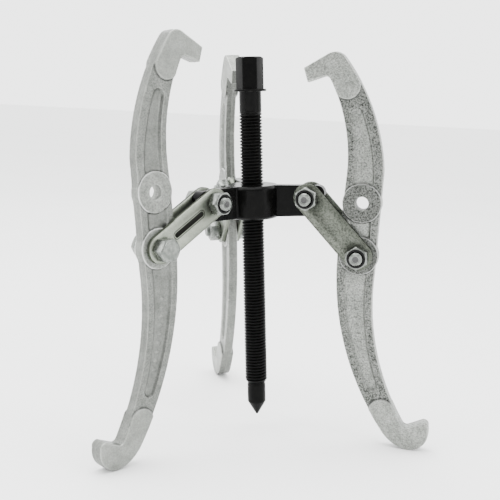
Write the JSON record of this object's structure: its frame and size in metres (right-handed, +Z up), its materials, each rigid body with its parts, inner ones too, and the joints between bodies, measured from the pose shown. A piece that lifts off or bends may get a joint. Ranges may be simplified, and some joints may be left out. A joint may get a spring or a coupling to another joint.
{
  "type": "gear puller",
  "caption": "Reversible jaw puller: hooked, channelled jaws hung on pairs of flat links from a radial yoke, around a threaded forcing screw with a hexagon head and a centre point.",
  "frame": {"origin": "tip of the forcing screw's centre point, where it presses on the shaft", "axes": "+Z up along the forcing screw towards its hexagon head; the right jaw's plane is 15.7 degrees from +X towards -Y, and the other two follow at 120 degrees"},
  "size_m": [0.2576, 0.2714, 0.3301],
  "materials": {
    "forged_zinc": "zinc-plated drop forging",
    "zinc_plate": "zinc-plated flat bar",
    "zinc_fastener": "bright zinc-plated steel",
    "black_oxide": "oiled black oxide",
    "hardened_point": "hardened, blackened steel"
  },
  "bodies": {
    "yoke": {"yoke": "black_oxide"},
    "point": {"centre_point": "hardened_point"},
    "screw": {"forcing_screw": "black_oxide"},
    "right_link": {"right_front_link": "zinc_plate", "right_back_link": "zinc_plate", "right_upper_bolt": "zinc_fastener", "right_upper_nut": "zinc_fastener", "right_lower_bolt": "zinc_fastener", "right_lower_nut": "zinc_fastener"},
    "right_jaw": {"right_jaw": "forged_zinc"},
    "left_link": {"left_front_link": "zinc_plate", "left_back_link": "zinc_plate", "left_upper_bolt": "zinc_fastener", "left_upper_nut": "zinc_fastener", "left_lower_bolt": "zinc_fastener", "left_lower_nut": "zinc_fastener"},
    "left_jaw": {"left_jaw": "forged_zinc"},
    "rear_link": {"rear_left_link": "zinc_plate", "rear_right_link": "zinc_plate", "rear_upper_bolt": "zinc_fastener", "rear_upper_nut": "zinc_fastener", "rear_lower_bolt": "zinc_fastener", "rear_lower_nut": "zinc_fastener"},
    "rear_jaw": {"rear_jaw": "forged_zinc"}
  },
  "joints": [
    {"name": "screw_feed", "type": "slide", "parent": "yoke", "child": "point", "axis": [0, 0, -1], "range_m": [-0.13, 0.057]},
    {"name": "screw_turn", "type": "hinge", "parent": "point", "child": "screw", "pos_m": [0, 0, 0.0285], "axis": [0, 0, -1], "range_deg": [-18720, 8208]},
    {"name": "right_link_swing", "type": "hinge", "parent": "yoke", "child": "right_link", "pos_m": [0.04496, -0.01264, 0.184], "axis": [-0.2706, -0.9627, 0], "range_deg": [-25, 16]},
    {"name": "right_jaw_swing", "type": "hinge", "parent": "right_link", "child": "right_jaw", "pos_m": [0.08293, -0.02331, 0.13879], "axis": [0.2706, 0.9627, 0], "range_deg": [-11, 30]},
    {"name": "left_link_swing", "type": "hinge", "parent": "yoke", "child": "left_link", "pos_m": [-0.03342, -0.03262, 0.184], "axis": [-0.6984, 0.7157, 0], "range_deg": [-30, 17]},
    {"name": "left_jaw_swing", "type": "hinge", "parent": "left_link", "child": "left_jaw", "pos_m": [-0.07151, -0.06979, 0.15629], "axis": [0.6984, -0.7157, 0], "range_deg": [-15, 40]},
    {"name": "rear_link_swing", "type": "hinge", "parent": "yoke", "child": "rear_link", "pos_m": [-0.01154, 0.04525, 0.184], "axis": [0.969, 0.247, 0], "range_deg": [-30, 11]},
    {"name": "rear_jaw_swing", "type": "hinge", "parent": "rear_link", "child": "rear_jaw", "pos_m": [-0.02228, 0.08743, 0.1427], "axis": [-0.969, -0.247, 0], "range_deg": [-8, 40]}
  ],
  "couplings": [
    {"joint": "screw_turn", "follows": "screw_feed", "rad_per_m": 2513.3}
  ]
}
